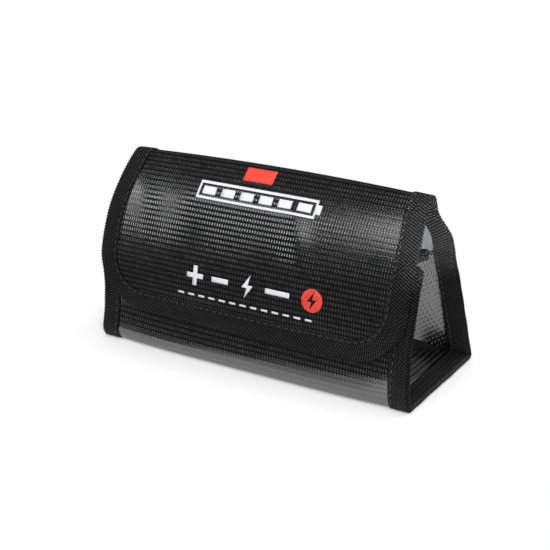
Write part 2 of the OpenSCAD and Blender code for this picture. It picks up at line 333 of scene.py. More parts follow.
def mesh_object(name, points, faces, uv=None, material=None, flip=False):
    """A smooth-shaded object from points in millimetres. uv holds a pair for each point."""
    if flip:
        faces = [tuple(reversed(f)) for f in faces]
    mesh = bpy.data.meshes.new(name)
    mesh.from_pydata((np.asarray(points) * MM).tolist(), [], faces)
    if uv is not None:
        layer = mesh.uv_layers.new(name="cloth")
        corner = np.zeros(len(mesh.loops), int)
        mesh.loops.foreach_get("vertex_index", corner)
        layer.data.foreach_set("uv", (np.asarray(uv)[corner] * MM).ravel())
    mesh.polygons.foreach_set("use_smooth", [True] * len(mesh.polygons))
    mesh.update()
    o = bpy.data.objects.new(name, mesh)
    bpy.context.scene.collection.objects.link(o)
    if material is not None:
        mesh.materials.append(material)
    return o


def grid_faces(rows, columns, start=0, closed=False):
    """Faces over rows of points. A closed grid joins each row's last point to its first."""
    faces = []
    for i in range(rows - 1):
        for j in range(columns if closed else columns - 1):
            a, b = start + i * columns + j, start + i * columns + (j + 1) % columns
            faces.append((a, b, b + columns, a + columns))
    return faces


def slab(name, outer, inner, uv, material):
    """A closed sheet between two grids of points of the same shape."""
    rows, columns = outer.shape[:2]
    count = rows * columns
    points = np.concatenate([outer.reshape(-1, 3), inner.reshape(-1, 3)])
    faces = grid_faces(rows, columns)
    faces += [tuple(reversed([i + count for i in f])) for f in grid_faces(rows, columns)]
    rim = (
        [j for j in range(columns)]
        + [i * columns + columns - 1 for i in range(1, rows)]
        + [(rows - 1) * columns + j for j in range(columns - 2, -1, -1)]
        + [i * columns for i in range(rows - 2, 0, -1)]
    )
    for a, b in zip(rim, rim[1:] + rim[:1]):
        faces.append((b, a, a + count, b + count))
    flip = volume(points, faces) < 0
    uv = np.concatenate([uv.reshape(-1, 2)] * 2)
    return mesh_object(name, points, faces, uv, material, flip)


def woven_cloth(name, t0, t1, half):
    """A panel of the coated cloth, with each dash of its weave in the mesh.

    Its edges lie under the tapes, so the cells past half(t) are simply left out."""
    step_x, step_t = DASH / 3, ROW / 5
    widest = float(np.max(half(np.linspace(t0, t1, 200))))
    columns = np.arange(-int(widest / step_x), int(widest / step_x) + 1)
    rows = np.arange(math.ceil(t0 / step_t), math.floor(t1 / step_t) + 1)
    t = np.concatenate([[t0], rows * step_t, [t1]])
    t, x = np.meshgrid(t, columns * step_x, indexing="ij")
    points = place(x, t, CLOTH_D, True).reshape(-1, 3)
    inside = (np.abs(x) <= half(t)).ravel()
    cells = np.array(grid_faces(*x.shape))
    cells = cells[inside[cells].all(axis=1)]
    used, cells = np.unique(cells, return_inverse=True)
    cells = cells.reshape(-1, 4)
    points, uv = points[used], np.stack([x, t], -1).reshape(-1, 2)[used]
    return mesh_object(name, points, [tuple(c) for c in cells.tolist()], uv, CLOTH)


def lining(name, t0, t1, half):
    """A panel of the lining from t0 to t1. half(t) is its half width there."""
    t = np.linspace(t0, t1, int(abs(t1 - t0) / 1.2) + 1)[:, None]
    x = half(t) * np.linspace(-1, 1, 81)[None, :]
    t = t + 0 * x
    uv = np.stack([x, t], -1)
    return slab(name, place(x, t, LINING_D), place(x, t, INSIDE_D), uv, LINING)


def sweep(name, path, inward, section_at):
    """A ribbed band of tape whose section is carried along a path, with both ends closed.

    path and inward are rows of points and directions in (x, t), and section_at(i) is the closed
    section there as (distance inward, depth)."""
    rings, uvs, gone = [], [], 0.0
    for i, (p, n) in enumerate(zip(path, inward)):
        s = section_at(i)
        rib = RIB if i % 2 else -RIB
        middle = s.mean(axis=0)
        s = s + np.sign(s - middle) * [0, rib] - [2 * rib, 0] * (s[:, :1] < 1)
        q = p + s[:, :1] * n
        rings.append(place(q[:, 0], q[:, 1], s[:, 1]))
        if i:
            gone += np.linalg.norm(p - path[i - 1])
        uvs.append(np.stack([np.full(len(s), gone), s[:, 0] + 4 * (s[:, 1] > 1)], 1))
    size = len(rings[0])
    points, uv = np.concatenate(rings), np.concatenate(uvs)
    faces = grid_faces(len(rings), size, closed=True)
    faces += [tuple(reversed(range(size))), tuple(range(len(points) - size, len(points)))]
    return mesh_object(name, points, faces, uv, TAPE, volume(points, faces) < 0)


def fold_section(width, depth):
    """Tape of that width on each face, folded round an edge of that depth."""
    bend = depth / 2
    inner = max(bend - TAPE_T, 0.15)
    # In from the tape's edge, which curls under, and over the groove that its stitches pull.
    ins = width - np.array([0, 0.25, STITCH_IN - 0.5, STITCH_IN, STITCH_IN + 0.5, 3.2])
    outs = np.array([0.28, 0.1, 0.03, STITCH_D, 0.03, 0.0])
    top = np.stack([ins, outs], 1)
    flat = np.array([[width * 0.35, 0.0]])
    half = np.linspace(math.pi / 2, 3 * math.pi / 2, 9)
    nose = np.stack([bend * (1 + np.cos(half)) * 0.9, bend - bend * np.sin(half)], 1)
    under = np.stack([ins, depth - outs], 1)[::-1]
    outside = np.concatenate([top, flat, nose, [[width * 0.35, depth]], under])
    back = np.linspace(3 * math.pi / 2, math.pi / 2, 7)
    hollow = np.stack([bend * 0.9 + inner * np.cos(back), bend - inner * np.sin(back)], 1)
    near = np.array([[width - 0.05, bend + inner]])
    far = np.array([[width - 0.05, bend - inner]])
    return np.concatenate([outside, near, hollow, far])


def stitch_row(name, line, runs, depth, side=1, pitch=3.3):
    """One raised bead of thread for each stitch along a line of points in (x, t).

    runs holds the line's direction at each point, and side is -1 for the inner face."""
    steps = np.linalg.norm(np.diff(line, axis=0), axis=1)
    gone = np.concatenate([[0], np.cumsum(steps)])
    count = max(1, int(gone[-1] / pitch))
    middles = (np.arange(count) + 0.5) * gone[-1] / count
    ring, rings, reach = 6, 7, 1.25
    a = np.linspace(0, 2 * math.pi, ring, endpoint=False)
    along_bead = np.linspace(-1, 1, rings)
    thick = 0.3 * np.sqrt(np.clip(1 - along_bead**4, 0.02, 1))
    beads, faces = [], []
    for k, s in enumerate(middles):
        p = np.array([np.interp(s, gone, line[:, c]) for c in (0, 1)])
        d = unit(np.array([np.interp(s, gone, runs[:, c]) for c in (0, 1)]))
        n = np.array([-d[1], d[0]])
        for share, r in zip(along_bead, thick):
            q = p + d * share * reach + n * (np.cos(a) * r)[:, None]
            h = depth - side * (np.sin(a) * r + 0.05 - 0.22 * share**2)
            beads.append(place(q[:, 0], q[:, 1], h))
        first = k * rings * ring
        last = first + (rings - 1) * ring
        faces += grid_faces(rings, ring, first, closed=True)
        faces += [tuple(reversed(range(first, first + ring))), tuple(range(last, last + ring))]
    points = np.concatenate(beads)
    return mesh_object(name, points, faces, None, THREAD, volume(points, faces) < 0)


# ---- Materials ----


class Maths:
    """Short names for a node tree's arithmetic."""

    def __init__(self, tree):
        self.tree = tree

    def node(self, kind, **inputs):
        n = self.tree.nodes.new(kind)
        for key, value in inputs.items():
            self.put(n.inputs[key], value)
        return n

    def put(self, socket, value):
        if hasattr(value, "is_output"):
            self.tree.links.new(value, socket)
        else:
            socket.default_value = value

    def do(self, operation, *values):
        n = self.tree.nodes.new("ShaderNodeMath")
        n.operation = operation
        for socket, value in zip(n.inputs, values):
            self.put(socket, value)
        return n.outputs[0]

    def noise(self, vector, scale, detail=3.0, rough=0.55):
        n = self.node("ShaderNodeTexNoise", Scale=scale, Detail=detail, Roughness=rough)
        self.put(n.inputs["Vector"], vector)
        return n.outputs["Fac"]

    def ramp(self, value, low, high, a, b):
        n = self.tree.nodes.new("ShaderNodeMapRange")
        keys = ("Value", "From Min", "From Max", "To Min", "To Max")
        for key, v in zip(keys, (value, low, high, a, b)):
            self.put(n.inputs[key], v)
        return n.outputs[0]

    def mix(self, factor, a, b):
        n = self.tree.nodes.new("ShaderNodeMix")
        n.data_type = "RGBA"
        self.put(n.inputs[0], factor)
        self.put(n.inputs[6], a)
        self.put(n.inputs[7], b)
        return n.outputs[2]

    def bump(self, height, distance, strength=1.0, under=None):
        n = self.node("ShaderNodeBump", Strength=strength, Distance=distance, Height=height)
        if under is not None:
            self.put(n.inputs["Normal"], under)
        return n.outputs[0]


def shader(name):
    """A new material, the arithmetic of its node tree and its main shader."""
    material = bpy.data.materials.new(name)
    material.use_nodes = True
    return material, Maths(material.node_tree), material.node_tree.nodes["Principled BSDF"]


def cloth_uv(m):
    """The cloth's own coordinates, in millimetres: along the bag and round it."""
    uv = m.tree.nodes.new("ShaderNodeUVMap")
    uv.uv_map = "cloth"
    parts = m.node("ShaderNodeSeparateXYZ", Vector=uv.outputs[0])
    return m.do("DIVIDE", parts.outputs[0], MM), m.do("DIVIDE", parts.outputs[1], MM), uv.outputs[0]


def here(m):
    """The place on the object, in metres."""
    return m.tree.nodes.new("ShaderNodeTexCoord").outputs["Object"]


def coated_cloth():
    mat, m, bsdf = shader("coated cloth")
    u, v, uv = cloth_uv(m)
    off_row = m.do("PINGPONG", m.do("DIVIDE", v, ROW), 0.5)
    off_dash = m.do("PINGPONG", m.do("DIVIDE", u, DASH), 0.5)
    on_dash = m.ramp(off_dash, 0.2, 0.42, 0.0, 1.0)
    on_row = m.ramp(off_row, 0.14, 0.3, 0.0, 1.0)
    raised = m.do("MULTIPLY", on_dash, on_row)
    grain = m.noise(uv, 1500.0, 2.0)
    cloud = m.noise(uv, 45.0, 4.0)
    # Painted glints: each raised dash is painted lighter, by an amount that a noise varies, while
    # the cloth between the dashes keeps its own near-black.
    painted_dash_glint = m.do("MULTIPLY", raised, m.ramp(m.noise(uv, 260.0, 2.0), 0.3, 0.7, 0.35, 1.0))
    colour = m.mix(painted_dash_glint, (0.001, 0.001, 0.0011, 1), (0.072, 0.072, 0.074, 1))
    m.put(bsdf.inputs["Base Color"], colour)
    shine = m.do("SUBTRACT", m.ramp(cloud, 0.3, 0.7, 0.13, 0.24), m.do("MULTIPLY", raised, 0.04))
    m.put(bsdf.inputs["Roughness"], shine)
    bsdf.inputs["Specular IOR Level"].default_value = 1.0
    bsdf.inputs["IOR"].default_value = 1.75
    first = m.bump(raised, 0.00013, 0.8)
    m.put(bsdf.inputs["Normal"], m.bump(grain, 0.00003, 0.5, first))
    return mat


def lining_cloth():
    mat, m, bsdf = shader("lining cloth")
    u, v, uv = cloth_uv(m)
    first = m.do("SINE", m.do("MULTIPLY", m.do("ADD", u, v), 4.6))
    second = m.do("SINE", m.do("MULTIPLY", m.do("SUBTRACT", u, v), 4.6))
    twill = m.do("MULTIPLY", first, second)
    cloud = m.noise(uv, 60.0, 4.0)
    # Painted highlight and shade: the twill's diagonals are painted lighter and darker in turn. The
    # colour is partly the lining's own silver grey and partly raised as a painted bright
    # reflection.
    painted_weave_highlight = m.ramp(twill, -0.6, 0.6, 0.0, 1.0)
    colour = m.mix(painted_weave_highlight, (0.09, 0.09, 0.095, 1), (0.32, 0.32, 0.33, 1))
    m.put(bsdf.inputs["Base Color"], colour)
    m.put(bsdf.inputs["Roughness"], m.ramp(cloud, 0.3, 0.7, 0.26, 0.42))
    bsdf.inputs["Metallic"].default_value = 0.35
    m.put(bsdf.inputs["Normal"], m.bump(twill, 0.00008, 0.8))
    return mat


def binding_tape():
    mat, m, bsdf = shader("binding tape")
    u, v, _ = cloth_uv(m)
    steep = m.do("ADD", u, m.do("MULTIPLY", v, 0.6))
    shallow = m.do("SUBTRACT", u, m.do("MULTIPLY", v, 1.4))
    one = m.do("SINE", m.do("MULTIPLY", steep, 6.2832 / (2 * RIB_STEP)))
    other = m.do("SINE", m.do("MULTIPLY", shallow, 6.2832 / (4 * RIB_STEP)))
    rib = m.do("MULTIPLY", m.ramp(one, -0.6, 1.0, 0.0, 1.0), m.ramp(other, -1.0, 0.6, 0.55, 1.0))
    fuzz = m.noise(here(m), 2600.0, 3.0)
    patch = m.noise(here(m), 160.0, 3.0)
    height = m.do("ADD", rib, m.do("MULTIPLY", fuzz, 0.5))
    # Painted highlight and shade: the raised ribs are painted lighter and the grooves between them
    # darker, in patches that a slow noise sets.
    painted_weave_highlight = m.do("MULTIPLY", m.ramp(rib, 0.3, 0.9, 0.0, 1.0), m.ramp(patch, 0.3, 0.7, 0.6, 1.0))
    colour = m.mix(painted_weave_highlight, (0.002, 0.002, 0.0021, 1), (0.054, 0.054, 0.056, 1))
    m.put(bsdf.inputs["Base Color"], colour)
    m.put(bsdf.inputs["Roughness"], m.ramp(fuzz, 0.3, 0.7, 0.7, 0.92))
    bsdf.inputs["Specular IOR Level"].default_value = 0.16
    bsdf.inputs["Sheen Weight"].default_value = 0.03
    m.put(bsdf.inputs["Normal"], m.bump(height, 0.0005, 1.0))
    return mat


def pile(name, low, high, size):
    mat, m, bsdf = shader(name)
    cell = m.node("ShaderNodeTexVoronoi", Scale=size)
    m.put(cell.inputs["Vector"], here(m))
    fuzz = m.noise(here(m), size * 1.7, 5.0, 0.75)
    height = m.do("SUBTRACT", fuzz, cell.outputs["Distance"])
    m.put(bsdf.inputs["Base Color"], m.mix(m.ramp(height, -0.4, 0.5, 0.0, 1.0), low, high))
    bsdf.inputs["Roughness"].default_value = 0.85
    bsdf.inputs["Sheen Weight"].default_value = 0.4
    m.put(bsdf.inputs["Normal"], m.bump(height, 0.0004, 1.0))
    return mat


def sewing_thread():
    mat, m, bsdf = shader("sewing thread")
    twist = m.noise(here(m), 4000.0, 2.0)
    m.put(bsdf.inputs["Base Color"], m.mix(twist, (0.008, 0.008, 0.009, 1), (0.06, 0.06, 0.063, 1)))
    bsdf.inputs["Roughness"].default_value = 0.5
    m.put(bsdf.inputs["Normal"], m.bump(twist, 0.00008, 0.8))
    return mat


def ink(name, colour, worn):
    mat, m, bsdf = shader(name)
    u, _, uv = cloth_uv(m)
    dash = m.do("ABSOLUTE", m.do("SUBTRACT", m.do("FRACT", m.do("DIVIDE", u, DASH)), 0.5))
    speck = m.noise(uv, 900.0, 4.0, 0.7)
    m.put(bsdf.inputs["Base Color"], m.mix(m.ramp(speck, 0.3, 0.62, 0.0, 1.0), worn, colour))
    bsdf.inputs["Roughness"].default_value = 0.45
    m.put(bsdf.inputs["Normal"], m.bump(dash, 0.00006, 0.6))
    return mat


CLOTH = coated_cloth()
LINING = lining_cloth()
TAPE = binding_tape()
LOOP = pile("loop pile", (0.006, 0.006, 0.006, 1), (0.05, 0.05, 0.052, 1), 1900.0)
HOOK = pile("hook pile", (0.01, 0.01, 0.01, 1), (0.07, 0.07, 0.073, 1), 1300.0)
THREAD = sewing_thread()
WHITE = ink("white ink", (0.86, 0.86, 0.89, 1), (0.7, 0.7, 0.73, 1))
RED = ink("red ink", (0.86, 0.075, 0.05, 1), (0.7, 0.05, 0.035, 1))


# ---- Cloth and lining ----


def end_x(t):
    """Half length of the pouch: it draws in towards the shoulders at the back."""
    z = np.interp(t, FINE, FINE_Z)
    return HALF_L - (HALF_L - RIDGE_HALF) * smooth(z, SHOULDER_Z - 14, SHOULDER_Z) * (t > BASE_REAR)


def wrap_half(t):
    """Half width of the pouch's cloth, inside its tapes."""
    return end_x(t) - WALL_IN


def flap_side(t):
    """Half width of the flap's outline on its straight sides."""
    widest = flap_at(48)
    return RIDGE_HALF + (FLAP_HALF - RIDGE_HALF) * smooth(t, -2, widest * 0.7)


def flap_half(t):
    """Half width of the flap's cloth, inside its tape."""
    r = CORNER_R
    low = np.clip((t - (FLAP_END - r)) / r, 0, 0.93)
    return flap_side(t) - r * (1 - np.sqrt(1 - low**2)) - SIDE_IN


front_cloth = woven_cloth("front_cloth", MOUTH + MOUTH_IN, BASE_REAR, wrap_half)
back_cloth = woven_cloth("back_cloth", BASE_REAR, SPLIT, wrap_half)
flap_cloth = woven_cloth("flap_cloth", SPLIT, FLAP_END - EDGE_IN, flap_half)
wrap_lining = lining("wrap_lining", MOUTH + MOUTH_IN, SPLIT, wrap_half)
flap_lining = lining("flap_lining_cloth", SPLIT, FLAP_END - EDGE_IN, flap_half)


# ---- Bindings ----


def end_tape(side):
    """The tape folded round one end of the pouch, from the mouth to the shoulder."""
    last = SPLIT - SHOULDER_GAP
    t = np.append(np.arange(MOUTH, last - RIB_STEP, RIB_STEP), last)
    z = np.interp(t, FINE, FINE_Z)
    uneven = 0.35 - 0.15 * (1 + np.sin(0.31 * t) * np.sin(0.13 * t + 1))
    drawn_in = 0.9 * np.exp(-(((z - 28) / 8) ** 2)) * (t < BASE_FRONT)
    at_shoulder = smooth(z, SHOULDER_Z - 12, SHOULDER_Z)
    path = np.stack([side * (end_x(t) + (uneven - drawn_in) * (1 - at_shoulder)), t], 1)
    inward = np.tile([-side, 0.0], (len(t), 1))
    depth = FLAP_EDGE_D + (FLANGE_D - FLAP_EDGE_D) * (1 - smooth(z, GUSSET_Z - 1, GUSSET_Z + 2))

    def section_at(i):
        """The folded tape, pinched and rounded off at the mouth, where it is cut."""
        s = fold_section(TAPE_W, depth[i])
        from_cut = t[i] - t[0]
        s[:, 1] = s[:, 1] + (depth[i] / 2 - s[:, 1]) * 0.55 * (1 - smooth(from_cut, 0, 1.2))
        outer = np.clip(TAPE_W - s[:, 0], 0, None) / TAPE_W
        s[:, 0] += outer * 2.2 * (1 - smooth(from_cut, 0, 3)) ** 2
        return s

    return sweep(f"{WORD[side]}_end_tape", path, inward, section_at)


def flap_outline(inset=0.0):
    """The flap's edge in (x, t) from the right shoulder to the left, its run and its inside."""
    r = CORNER_R
    t = np.arange(SPLIT + SHOULDER_GAP, FLAP_END - r, RIB_STEP)
    right = np.stack([flap_side(t), t], 1)
    a = np.linspace(0, math.pi / 2, 60)
    bend = np.stack([FLAP_HALF - r + r * np.cos(a), FLAP_END - r + r * np.sin(a)], 1)
    x = np.arange(FLAP_HALF - r - RIB_STEP, 0, -RIB_STEP)
    low = np.stack([x, np.full(len(x), FLAP_END)], 1)
    half = np.concatenate([right, bend, low])
    whole = np.concatenate([half, (half * [-1, 1])[::-1]])
    run = np.gradient(whole, axis=0)
    run /= np.linalg.norm(run, axis=1)[:, None]
    inward = np.stack([run[:, 1], -run[:, 0]], 1)
    inward[np.sum(inward * ([0, FLAP_END / 2] - whole), axis=1) < 0] *= -1
    return whole + inward * inset, run, inward


def edge_section(i):
    return fold_section(TAPE_W, FLAP_EDGE_D)


def flap_tape():
    """The tape round the flap, which stands a little wider than the cloth below the shoulders."""
    path, _, inward = flap_outline()
    wider = 0.5 * smooth(path[:, 1], SPLIT + 4, SPLIT + 18)
    path = path - inward * wider[:, None]
    return sweep("flap_tape", path, inward, edge_section)


def mouth_tape():
    x = np.arange(-SEAM_X + 0.1, SEAM_X, RIB_STEP)
    path = np.stack([x, np.full(len(x), MOUTH)], 1)
    inward = np.tile([0.0, 1.0], (len(x), 1))
    return sweep("mouth_tape", path, inward, edge_section)


tapes = {side: end_tape(side) for side in (-1, 1)}
flap_edge = flap_tape()
mouth_edge = mouth_tape()


# ---- Gussets ----


GUSSET_D = 2.0  # depth of a gusset's seam allowance, between the faces of the end tape
ALLOWANCE = 4  # its width
FRONT_N, BASE_N, BACK_N, TOP_N = 34, 30, 40, 24  # points on each side of a gusset's rim
FAN_STEPS = 25  # from the low crease out to the rim


def gusset_seam():
    """A gusset's seam: down the front, along the base and up the back."""
    return np.concatenate(
        [
            np.linspace(front_at(GUSSET_Z), BASE_FRONT - 1, FRONT_N),
            np.linspace(BASE_FRONT, BASE_REAR, BASE_N),
            np.linspace(BASE_REAR + 2, back_at(GUSSET_Z), BACK_N),
        ]
    )


def half_wave(count, height):
    """One rounded bulge over a number of points."""
    return np.sin(np.linspace(0, math.pi, count)) * height


def gusset(side):
    """The folded end panel: a fan from the low crease out to its seams and its free top edge."""
    seam = SEAM_X - 0.6
    deep = seam - APEX_X - 0.6
    t = gusset_seam()
    rim = place(side * seam, t, GUSSET_D)
    top = np.linspace(0, 1, TOP_N + 2)[1:-1, None]
    edge = rim[-1] * (1 - top) + rim[0] * top
    dip = TOP_DIP * (1 - np.abs(2 * top[:, 0] - 1) ** 1.6)
    edge[:, 0] -= side * dip
    edge[:, 2] -= 1.2 * np.sin(math.pi * top[:, 0])
    ring = np.concatenate([rim, edge])
    apex = np.array([side * (seam - deep), CREASE_Y, CREASE_Z])
    n = len(ring)
    facets = [half_wave(FRONT_N, 1.5), half_wave(BASE_N, 1.2), half_wave(BACK_N, -1.8)]
    facets = np.concatenate(facets + [np.zeros(TOP_N)])
    points = [apex]
    for k in np.linspace(0, 1, FAN_STEPS + 1)[1:]:
        p = apex + (ring - apex) * k
        middle = math.sin(math.pi * k)
        p[:, 0] += side * facets * middle**1.2
        p[:, 0] += 0.5 * middle * ripple(p[:, 1] * 2.0 + 40 * side, p[:, 2] * 2.0)
        points.extend(p)
    faces = [(0, 1 + j, 1 + (j + 1) % n) for j in range(n)]
    faces += grid_faces(FAN_STEPS, n, 1, closed=True)
    points = np.array(points)
    # The seam allowance runs on between the tapes.
    start = 1 + (FAN_STEPS - 1) * n
    outer = place(side * (seam + ALLOWANCE), t, GUSSET_D)
    first = len(points)
    points = np.concatenate([points, outer])
    faces += [(start + j, start + j + 1, first + j + 1, first + j) for j in range(len(t) - 1)]
    if side < 0:
        faces = [tuple(reversed(f)) for f in faces]
    deep_in = seam - side * points[:, 0]
    uv = np.stack([points[:, 1], points[:, 2] + 0.5 * deep_in], 1)
    o = mesh_object(f"{WORD[side]}_gusset_cloth", points, faces, uv, CLOTH)
    solid = o.modifiers.new("thickness", "SOLIDIFY")
    solid.thickness = 0.7 * MM
    solid.offset = 0
    return o, ring[len(rim) - 1 :], ring[0]


def gusset_hem(side, edge, last):
    """Narrow tape folded over a gusset's top edge, from the back seam to the front one."""
    corners = np.concatenate([edge, [last]])[1:-1]
    at = np.linspace(0, len(corners) - 1, 60)
    line = np.stack([np.interp(at, np.arange(len(corners)), corners[:, c]) for c in range(3)], 1)
    run = np.gradient(line, axis=0)
    run /= np.linalg.norm(run, axis=1)[:, None]
    down = np.array([-side * 0.12, 0, -1.0])
    section = fold_section(4.2, 1.7)
    points = []
    for p, r in zip(line, run):
        side_way = unit(np.cross(r, down))
        points.append(p + section[:, :1] * down + (section[:, 1:] - 0.85) * side_way + [0, 0, 0.8])
    size = len(section)
    points = np.concatenate(points)
    faces = grid_faces(len(line), size, closed=True)
    faces += [tuple(reversed(range(size))), tuple(range(len(points) - size, len(points)))]
    gone = np.repeat(np.arange(len(line)) * 0.6, size)
    uv = np.stack([gone, np.tile(section[:, 0], len(line))], 1)
    name = f"{WORD[side]}_gusset_hem_tape"
    return mesh_object(name, points, faces, uv, TAPE, volume(points, faces) < 0)


gussets = {}
for side in (-1, 1):
    panel, edge, last = gusset(side)
    gussets[side] = (panel, gusset_hem(side, edge, last))


# ---- Hook and loop strips ----


def strip(name, at, outer_d, inner_d, material):
    """A fastener strip between two depths, with soft edges."""
    t0, t1 = sorted((at(STRIP_LOW), at(STRIP_HIGH)))
    t = np.linspace(t0, t1, 40)[:, None]
    x = np.linspace(-STRIP_HALF, STRIP_HALF, 240)[None, :]
    near = np.minimum(np.minimum(t - t0, t1 - t), STRIP_HALF - np.abs(x))
    soft = 1 - np.clip(near / 0.7, 0, 1) ** 0.5
    rough = np.random.default_rng(3).normal(0, 0.05, soft.shape)
    face = outer_d + (inner_d - outer_d) * 0.6 * soft + rough * (1 - soft)
    x, t = x + 0 * soft, t + 0 * soft
    return slab(name, place(x, t, face), place(x, t, inner_d), np.stack([x, t], -1), material)


loop = strip("loop_pile", front_at, -0.42, CLOTH_D, LOOP)
hook = strip("hook_pile", flap_at, INSIDE_D + 0.62, INSIDE_D, HOOK)


# ---- Stitching ----


def sewn(name, line, depth, side=1):
    """A row of stitches along a line of points in (x, t)."""
    runs = np.gradient(line, axis=0)
    return stitch_row(name, line, runs / np.linalg.norm(runs, axis=1)[:, None], depth, side)


def strip_rows(name, at, depth, side):
    """One row of stitches right round a fastener strip."""
    t0, t1 = sorted((at(STRIP_LOW + STITCH_IN), at(STRIP_HIGH - STITCH_IN)))
    h = STRIP_HALF - 1.8
    x = np.linspace(-h, h, 90)
    t = np.linspace(t0, t1, 12)
    line = np.concatenate(
        [
            np.stack([x, 0 * x + t0], 1),
            np.stack([0 * t + h, t], 1)[1:],
            np.stack([x[::-1], 0 * x + t1], 1)[1:],
            np.stack([0 * t - h, t[::-1]], 1)[1:],
        ]
    )
    return sewn(name, line, depth, side)


def end_rows(side):
    """Stitches through both faces of an end tape. Outside, there are none where the bag stands."""
    x = side * (SEAM_X + STITCH_IN)
    t = np.linspace(MOUTH + 2, SPLIT - 2, 300)
    z = np.interp(t, FINE, FINE_Z)
    clear = z > 2.5
    in_gusset = z < GUSSET_Z - 1
    rows = (
        ("front", (t < BASE_FRONT) & clear, STITCH_D, 1),
        ("back", (t > BASE_REAR) & clear, STITCH_D, 1),
        ("inside_front", (t < BASE_FRONT) & in_gusset, FLANGE_D - STITCH_D, -1),
        ("inside_rest", (t > BASE_FRONT + 2) & in_gusset, FLANGE_D - STITCH_D, -1),
    )
    pieces = []
    for label, part, depth, face in rows:
        line = np.stack([0 * t[part] + x, t[part]], 1)
        pieces.append(sewn(f"{WORD[side]}_end_thread_{label}", line, depth, face))
    return pieces


edge_line, edge_run, _ = flap_outline(TAPE_W - STITCH_IN)
under = FLAP_EDGE_D - STITCH_D
flap_thread = [
    stitch_row("flap_thread", edge_line, edge_run, STITCH_D),
    stitch_row("flap_thread_under", edge_line, edge_run, under, -1),
]
mouth_x = np.linspace(-SEAM_X + 2, SEAM_X - 2, 120)
mouth_line = np.stack([mouth_x, 0 * mouth_x + MOUTH + TAPE_W - STITCH_IN], 1)
mouth_thread = sewn("mouth_thread", mouth_line, STITCH_D)
loop_thread = strip_rows("loop_thread", front_at, -0.4, 1)
hook_thread = strip_rows("hook_thread", flap_at, INSIDE_D + 0.6, -1)
end_thread = {side: end_rows(side) for side in (-1, 1)}


# ---- Prints: plain signs only ----


INK_T = 0.06  # from the cloth's own face to each face of the ink


def slice_at(bm, place_on, normal):
    """Cuts every face of a flat mesh along one line."""
    geom = bm.verts[:] + bm.edges[:] + bm.faces[:]
    bmesh.ops.bisect_plane(bm, geom=geom, plane_co=place_on, plane_no=normal)


def printed(name, shapes, material):
    """Outlines in (x, height on the flap), laid on the cloth and cut fine enough to follow it."""
    bm = bmesh.new()
    for outline in shapes:
        points = [bm.verts.new((x, flap_at(z), 0)) for x, z in outline]
        bm.faces.new(points)
    bmesh.ops.triangulate(bm, faces=bm.faces[:])
    t_all = [v.co.y for v in bm.verts]
    for cut in np.arange(min(t_all), max(t_all), ROW / 2):
        slice_at(bm, (0, cut, 0), (0, 1, 0))
    low, high = int(min(v.co.x for v in bm.verts)), int(max(v.co.x for v in bm.verts))
    for cut in range(low, high + 1, 3):
        slice_at(bm, (cut + 0.1, 0, 0), (1, 0, 0))
    bmesh.ops.remove_doubles(bm, verts=bm.verts[:], dist=1e-4)
    bm.verts.index_update()
    flat = np.array([v.co[:2] for v in bm.verts])
    faces = [tuple(v.index for v in f.verts) for f in bm.faces]
    rim = [tuple(v.index for v in e.verts) for e in bm.edges if len(e.link_faces) == 1]
    bm.free()
    count = len(flat)
    points = np.concatenate([place(*flat.T, CLOTH_D - INK_T), place(*flat.T, CLOTH_D + INK_T)])
    both = faces + [tuple(reversed([i + count for i in f])) for f in faces]
    directed = {(f[i], f[(i + 1) % len(f)]) for f in faces for i in range(len(f))}
    for a, b in rim:
        a, b = (a, b) if (a, b) in directed else (b, a)
        both.append((b, a, a + count, b + count))
    uv = np.concatenate([flat, flat])
    return mesh_object(name, points, both, uv, material, volume(points, both) < 0)


def bar(x, z, w, h):
    """A level rectangle round (x, z)."""
    return [(x + a * w / 2, z + b * h / 2) for a, b in ((-1, -1), (1, -1), (1, 1), (-1, 1))]


def battery(x, z, w, h, wall, cells):
    """A long battery from the side: its case, its terminal and its cells."""
    pitch = (w - 2 * wall) / cells
    shapes = [
        bar(x, z + (h - wall) / 2, w, wall),
        bar(x, z - (h - wall) / 2, w, wall),
        bar(x - (w - wall) / 2, z, wall, h - 2 * wall),
        bar(x + (w - wall) / 2, z, wall, h - 2 * wall),
        bar(x + w / 2 + 1, z, 2.4, h / 2),
    ]
    for i in range(cells):
        shapes.append(bar(x + (i - (cells - 1) / 2) * pitch, z, pitch - 3, h - 4 * wall))
    return shapes


def plus(x, z, size, wall):
    """A plus sign, as an upright bar and an arm on each side of it."""
    arm = (size - wall) / 2
    sides = [bar(x + side * (wall + arm) / 2, z, arm, wall) for side in (-1, 1)]
    return [bar(x, z, wall, size)] + sides


def bolt(x, z, size):
    """A lightning bolt."""
    shape = [(0.12, 0.5), (-0.28, -0.06), (-0.02, -0.06), (-0.12, -0.5), (0.28, 0.06), (0.02, 0.06)]
    return [(x + size * a, z + size * b) for a, b in shape]


def disc_round(x, z, radius, hole):
    """A disc with a cut-out, as strips that run from the cut-out's edge to the rim."""
    fine = []
    for p, q in zip(hole, hole[1:] + hole[:1]):
        fine += [(p[0] + (q[0] - p[0]) * k / 6, p[1] + (q[1] - p[1]) * k / 6) for k in range(6)]
    rim = []
    for p in fine:
        a = math.atan2(p[1] - z, p[0] - x)
        rim.append((x + radius * math.cos(a), z + radius * math.sin(a)))
    n = len(fine)
    return [[fine[i], fine[(i + 1) % n], rim[(i + 1) % n], rim[i]] for i in range(n)]


